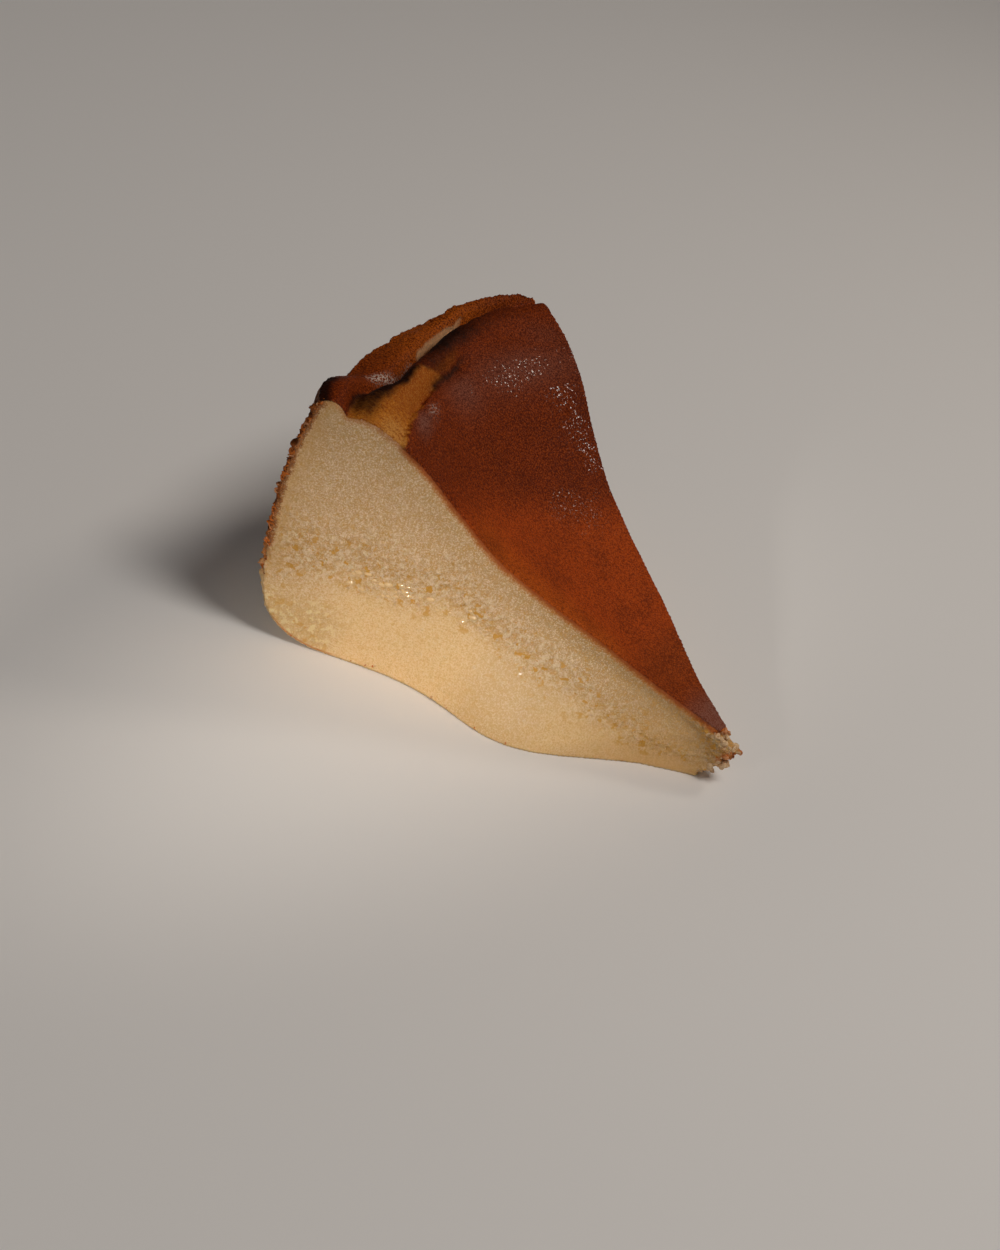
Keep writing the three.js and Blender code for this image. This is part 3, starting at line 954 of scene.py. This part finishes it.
def paintLobe(w):
    return painted(
        "lobe",
        (moved(w.turn, w, medium=16).ramp(*finish["lobeBrown"]) * 0.7, "lobeBrown"),
        (moved(w.lobePale, w, fine=1.4).ramp(*finish["lobePale"]), "lobePale"),
        (w.lobeGrain * 0.55 + w.lobePatches * 0.45, "lobeBrown"),
        (w.lobeSpecks * 0.4, "lobePale"))


def paintCrust(w):
    # the crust's broad colours
    crust = painted(
        "crust",
        (w.lighter, "crustLight"),
        # lighter by the near cut: partly paler browning, partly painted light
        (w.nearGlow, "crustGlow"),
        (w.darkTip, "crustTip"),
        (w.dark, "crustDark"),
        (w.outside.ramp(*finish["rim"]), "rim"),
        (w.crustClouds * 0.3, "crustDark"),
        (w.crustPatches * 0.3, "crustDark"),
        (w.rimGold * (0.7 + w.medium * 0.5), "rimGold"))

    # its grain, and what lies on it: burnt crust with painted shade in the crack and the fold, a painted
    # sheen and a painted highlight
    burnt = (w.burnt + (w.medium - 0.5) * 0.5 * w.burnt).clamped()
    return painted(
        crust,
        (w.crustGrain * (0.92 - w.lighter * 0.3), "crustDark"),
        (w.crustSpecks * (0.38 + w.lighter * 0.1), "crustSpeck"),
        (w.lobe * (0.8 + w.medium * 0.4), paintLobe(w)),
        # painted sheen, in specks
        (w.plum * (0.1 + w.plumSpecks * 0.75), "plum"),
        (burnt, "burnt"),
        (moved(w.cream, w, fine=0.6).ramp(*finish["cream"]) * 0.45, "curd"),
        # painted highlight, in specks
        (w.bloom * w.bloomSpecks * 0.8, "bloom"))


def paintRind(w):
    # brown above and pale at the foot, darker in the pleats
    high = moved(w.overBase, w, broad=16, medium=6)
    gold, brown = high.ramp(*finish["gold"]), high.ramp(*finish["rind"])
    blotches = w.rindBlotches * (1 - w.pleat) * high.ramp(*finish["blotches"])
    return painted(
        "rindPale",
        (gold, "rindGold"),
        (brown, "rind"),
        (w.pleat.ramp(*finish["pleat"]) * brown * 0.7, "rindBrown"),
        (blotches * 0.75, "burnt"),
        (w.rindGrain * 0.6 * gold, "rindBrown"),
        (w.rindFlecks * 0.5 * gold, "rindGold"))


def makeCheesecakeMaterial():
    material = startMaterial("cheesecake")
    w = Sources()
    onTop = moved(w.underCrust, w, medium=0.3, grain=0.6).ramp(*finish["onTop"])
    onRind = moved(w.underRind, w, medium=0.5).ramp(*finish["onRind"])
    onBase = moved(w.overBase, w, medium=0.3).ramp(*finish["onBase"])
    base = tint(w.basePatches * 0.5, "base", "curd")
    colour = painted(paintCurd(w), (onBase, base), (onRind, paintRind(w)), (onTop, paintCrust(w)))

    skin = Wire.calc("MAXIMUM", onTop, onRind)
    coarse, fine = finish["crumbHeights"]
    crumbHeight = (w.medium * coarse + w.fine * fine) * (1 - w.core * 0.8) * (0.7 + w.band * 0.8)
    pebble, grit = finish["pebbleHeights"]
    pebbleHeight = cells(pebbleSize) * pebble + w.fine * grit
    normal = bump(skin * pebbleHeight + (1 - skin) * crumbHeight)
    moist = (w.moistSpots * (0.15 + w.core)).clamped()
    sparkly = w.r.ramp(*finish["sparkleR"]) * w.outside.ramp(*finish["sparkleOutside"])

    curdShader = Wire.node("BsdfPrincipled", {"subsurface_method": "RANDOM_WALK"}, {
        "Base Color": colour, "Roughness": 0.65 - w.core * 0.2, "Normal": normal, "Specular IOR Level": 0.12,
        "Subsurface Weight": 0.2, "Subsurface Radius": (1.0, 0.5, 0.2), "Subsurface Scale": 1.0 * mm,
        "Coat Weight": moist, "Coat Roughness": 0.2})
    crustShader = Wire.node("BsdfPrincipled", None, {
        "Base Color": colour, "Roughness": 0.5, "Normal": normal, "Specular IOR Level": 0.04,
        "Coat Weight": w.sparkleSpots * sparkly, "Coat Roughness": 0.08})
    finishMaterial(Wire.node("MixShader", None, {0: skin, 1: curdShader, 2: crustShader}))
    return material


cheesecake.data.materials.append(makeCheesecakeMaterial())

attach(cheesecake, "root")
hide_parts("cheesecake_slice")
print("cheesecake finished")


# Loose crumbs, dark flakes and wet drops that cling to the slice

scraps = {
    "seed": 7,
    "shapes": 6,               # and one more, smooth, for the wet ones
    "subdivisions": 2,
    "roughness": 0.8,          # how far a shape's points stray from a ball
    "smoothness": 0.1,         # and those of the wet one
    "bumps": 0.5,              # how far apart their bumps are
    "firstSeed": 30,
    # number, smallest and largest size across, flatness, how dark at least and at most, how wet
    "tip": (110, 0.5, 1.7, 0.75, 0.0, 0.2, 0),
    "tipBrown": (60, 0.5, 1.5, 0.6, 0.3, 0.45, 0),
    "nearRind": (130, 0.4, 1.7, 0.22, 0.25, 0.85, 0),
    "farRind": (90, 0.4, 1.7, 0.22, 0.25, 0.85, 0),
    "foot": (26, 0.4, 1.0, 0.6, 0.15, 0.6, 0),
    "band": (170, 0.4, 1.0, 0.7, 0.0, 0.2, 0),
    "wet": (30, 0.8, 2.2, 0.3, 0.0, 0.0, 1),
    "mostlySmall": 2,          # a power that makes the large ones rarer
    "width": (0.7, 0.3),       # as a share of the length: at least, and how much more at most
    "sunk": 0.2,               # they sit this share of their size below the surface
    "offFloor": 0.8,           # and at least this share of it above the floor
    "wetWidth": 0.5,
    "wetSunk": 0.03,
    "wetFacing": (0.38, -0.78, 0.51),      # the wet ones' smooth sides face about this way
    "wetSpread": 0.12,
    "singed": (0.1, 0.45),     # by how dark a scrap is
    "burnt": (0.55, 0.9),
}

scrapPlaces = {
    "byCut": 0.35,             # so near a cut
    "rind": {"under": 0.5, "share": 0.25},
    "torn": {"r": 0.5, "z": 1.2, "top": 0.9},
    "brown": (0.86, 0.96),     # share
    "foot": {"share": 0.03, "r": (12, 95)},
    "band": {"strength": 0.6, "underCrust": 2, "z": 2},
    "wet": {"r": (56, 84), "share": 0.05},
}


def placesFor(piece):
    # which of the slice's points may carry a scrap of each kind
    at = getFields(piece, "r", "share", "insideNear", "insideFar", "underRind", "underCrust", "band")
    z = getPoints(piece)[:, 2]
    near, far = at.insideNear < scrapPlaces["byCut"], at.insideFar < scrapPlaces["byCut"]
    rind, torn, brown = scrapPlaces["rind"], scrapPlaces["torn"], scrapPlaces["brown"]
    onRind = (at.underRind < rind["under"]) & (at.share > rind["share"])
    onTip = (at.r < torn["r"]) & (z > torn["z"])
    byScrap = np.abs(at.share - bake["scrap"]["share"]) < bake["scrap"]["halfHeight"]
    foot, band, wet = scrapPlaces["foot"], scrapPlaces["band"], scrapPlaces["wet"]
    onCuts = (near | far) & (at.underCrust > band["underCrust"])
    fromCore = np.abs(at.share - curveThrough(relief["core"], at.r))
    return {
        "tip": onTip & (at.share < torn["top"]) & ~byScrap,
        "tipBrown": onTip & ((at.share > brown[0]) & (at.share < brown[1]) | byScrap),
        "nearRind": onRind & near,
        "farRind": onRind & far,
        "foot": near & (at.share < foot["share"]) & (at.r > foot["r"][0]) & (at.r < foot["r"][1]),
        "band": onCuts & (at.band > band["strength"]) & (z > band["z"]),
        "wet": near & (at.r > wet["r"][0]) & (at.r < wet["r"][1]) & (fromCore < wet["share"]),
    }


def addScrapShape(number, roughness):
    bpy.ops.mesh.primitive_ico_sphere_add(subdivisions=scraps["subdivisions"], radius=0.5 * mm)
    shape = bpy.context.object
    points = getPoints(shape)
    swell = 1 + roughness * unevenness(points, scraps["bumps"], scraps["firstSeed"] + number)
    setPoints(shape, points * swell[:, None])
    return shape


def addScrap(kind, point, normal, shapes, drop, rng):
    # a copy of one of the shapes with its own mesh, turned and sized by chance
    smallest, largest, flatness, lightest, darkest, wet = scraps[kind][1:]
    shape = shapes[rng.integers(len(shapes))]
    scrap = (drop if wet else shape).copy()
    scrap.data = scrap.data.copy()
    bpy.context.collection.objects.link(scrap)
    size = smallest + (largest - smallest) * rng.random() ** scraps["mostlySmall"]
    spot = Vector(point) - normal * size * scraps["wetSunk" if wet else "sunk"]
    scrap.location = Vector((spot.x, spot.y, max(spot.z, size * scraps["offFloor"]))) * mm
    chance = rng.normal(0, 1, 3)
    if wet:
        turned = Vector(chance * scraps["wetSpread"] + scraps["wetFacing"]).to_track_quat("Z", "Y")
        width = scraps["wetWidth"]
    else:
        turned = normal.to_track_quat("Z", "Y") @ Vector(chance).to_track_quat("Z", "Y")
        least, more = scraps["width"]
        width = least + more * rng.random()
    scrap.rotation_mode = "QUATERNION"
    scrap.rotation_quaternion = turned
    scrap.scale = (size, size * width, size * flatness)
    count = len(scrap.data.vertices)
    setFields(scrap, dark=np.full(count, rng.uniform(lightest, darkest)), wet=np.full(count, wet))
    return scrap


def addScraps(body):
    rng = np.random.default_rng(scraps["seed"])
    shapes = [addScrapShape(number, scraps["roughness"]) for number in range(scraps["shapes"])]
    drop = addScrapShape(scraps["shapes"], scraps["smoothness"])
    points, normals = getPoints(body), getNormals(body)
    made = []
    for kind, there in placesFor(body).items():
        for spot in rng.choice(np.flatnonzero(there), scraps[kind][0], replace=False):
            made.append(addScrap(kind, points[spot], Vector(normals[spot]), shapes, drop, rng))
    for shape in (*shapes, drop):
        bpy.data.objects.remove(shape)
    bpy.ops.object.select_all(action="DESELECT")
    for scrap in made:
        scrap.select_set(True)
    bpy.context.view_layer.objects.active = made[0]
    bpy.ops.object.join()
    piece = bpy.context.object
    piece.rotation_mode = "XYZ"
    piece.name = piece.data.name = "crumbs"
    bpy.ops.object.transform_apply(location=True, rotation=True, scale=True)
    bpy.ops.object.shade_smooth()
    return piece


def makeCrumbMaterial():
    material = startMaterial("crumbs")
    w = Sources()
    dark = moved(w.dark, w, crumb=0.3)
    colour = painted(
        "curd",
        (w.crumbSpots * 0.6, "curdPale"),
        (w.wet, "curdCore"),
        (dark.ramp(*scraps["singed"]), "singed"),
        (dark.ramp(*scraps["burnt"]), "burnt"))
    finishMaterial(Wire.node("BsdfPrincipled", None, {
        "Base Color": colour, "Roughness": 0.6, "Specular IOR Level": 0.05, "Normal": bump(w.crumb * 0.2),
        "Coat Weight": w.wet, "Coat Roughness": 0.06}))
    return material


crumbs = addScraps(cheesecake)
crumbs.data.materials.append(makeCrumbMaterial())
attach(crumbs, "root")
print("crumbs", len(crumbs.data.polygons), "triangles")


# Floor, light and camera

photoView = {
    "lookAt": (-58.45, 8.42, 0),       # from the foot of the tip's axis
    "away": (169.1, -438.2, 290.1),    # from there to the camera
    "roll": 19.9,
    "lens": 72,
    "clipStart": 10,
}
studio = {
    # direction as (right, away, up) from the camera's side, distance and size in metres, power, colour
    "key": ((0.35, -0.15, 0.9), 1.0, 0.4, 4.2, (1, 0.96, 0.9)),
    "sheen": ((0.5, 0.54, 0.67), 0.9, 0.18, 1.0, (1, 0.9, 0.78)),
}
reflections = {                        # these only show in glossy spots
    "card": ((0.05, -0.85, 0.5), 0.9, 0.2, 6, (1, 0.98, 0.95)),
    "edgeCard": ((0.65, 0.3, 0.7), 0.9, 0.1, 0.4, (1, 0.97, 0.92)),
}
pool = {                               # a warm, soft-edged pool of light on the lower middle of the near cut
    "aim": (69, -6, 5),                # r, turn, z
    "direction": (-0.4, -0.8, 0.38),
    "distance": 0.55,
    "power": 6,
    "colour": (1, 0.95, 0.86),
    "cone": 12,
    "softness": 0.025,
}
surroundings = {"colour": (0.95, 0.95, 1.0, 1), "strength": 0.06}
floorLooks = {"size": 6, "colour": (0.78, 0.75, 0.73, 1), "roughness": 0.7}


def fromCamera(right, away, up):
    # a direction as the camera sees it, level with the floor, in the frame
    look = Vector(photoView["away"]).to_2d().normalized() * -1
    return Vector((right * look.y + away * look.x, away * look.y - right * look.x, up)).normalized()


def addCamera():
    lookAt = Vector((place["tip"], 0, 0)) + Vector(photoView["lookAt"])
    away = Vector(photoView["away"])
    bpy.ops.object.camera_add()
    camera = bpy.context.object
    camera.data.lens = photoView["lens"]
    camera.data.clip_start = photoView["clipStart"] * mm
    turned = (-away).to_track_quat("-Z", "Y").to_matrix().to_4x4()
    camera.matrix_world = (Matrix.Translation((lookAt + away) * mm) @ turned
                           @ Matrix.Rotation(radians(photoView["roll"]), 4, "Z"))
    bpy.context.scene.camera = camera


def addFloor():
    bpy.ops.mesh.primitive_plane_add(size=floorLooks["size"])
    floor = bpy.context.object
    floor.name = "floor"
    floor.data.materials.append(startMaterial("pale floor"))
    finishMaterial(Wire.node("BsdfPrincipled", None, {
        "Base Color": floorLooks["colour"], "Roughness": floorLooks["roughness"]}))


def addAreaLight(name, direction, distance, size, power, colour):
    spot = fromCamera(*direction) * distance
    bpy.ops.object.light_add(type="AREA", location=spot)
    light = bpy.context.object
    light.name = name
    light.data.shape = "DISK"
    light.data.size = size
    light.data.energy = power
    light.data.color = colour
    light.rotation_euler = spot.to_track_quat("Z", "Y").to_euler()
    return light


def addPool():
    aim = spotAt(*pool["aim"])
    spot = aim + fromCamera(*pool["direction"]) * pool["distance"]
    bpy.ops.object.light_add(type="SPOT", location=spot)
    light = bpy.context.object
    light.name = "pool"
    light.data.energy = pool["power"]
    light.data.color = pool["colour"]
    light.data.spot_size = radians(pool["cone"])
    light.data.spot_blend = 1
    light.data.shadow_soft_size = pool["softness"]
    light.rotation_euler = (spot - aim).to_track_quat("Z", "Y").to_euler()


def addSurroundings():
    world = bpy.data.worlds.new("studio")
    bpy.context.scene.world = world
    world.use_nodes = True
    background = world.node_tree.nodes["Background"].inputs
    background["Color"].default_value = surroundings["colour"]
    background["Strength"].default_value = surroundings["strength"]


addCamera()
addFloor()
for name, looks in studio.items():
    addAreaLight(name, *looks)
addPool()
for name, looks in reflections.items():
    addAreaLight(name, *looks).visible_diffuse = False
addSurroundings()
bpy.context.scene.view_settings.view_transform = "Standard"
print("lit by", len(studio) + len(reflections) + 1, "lights")
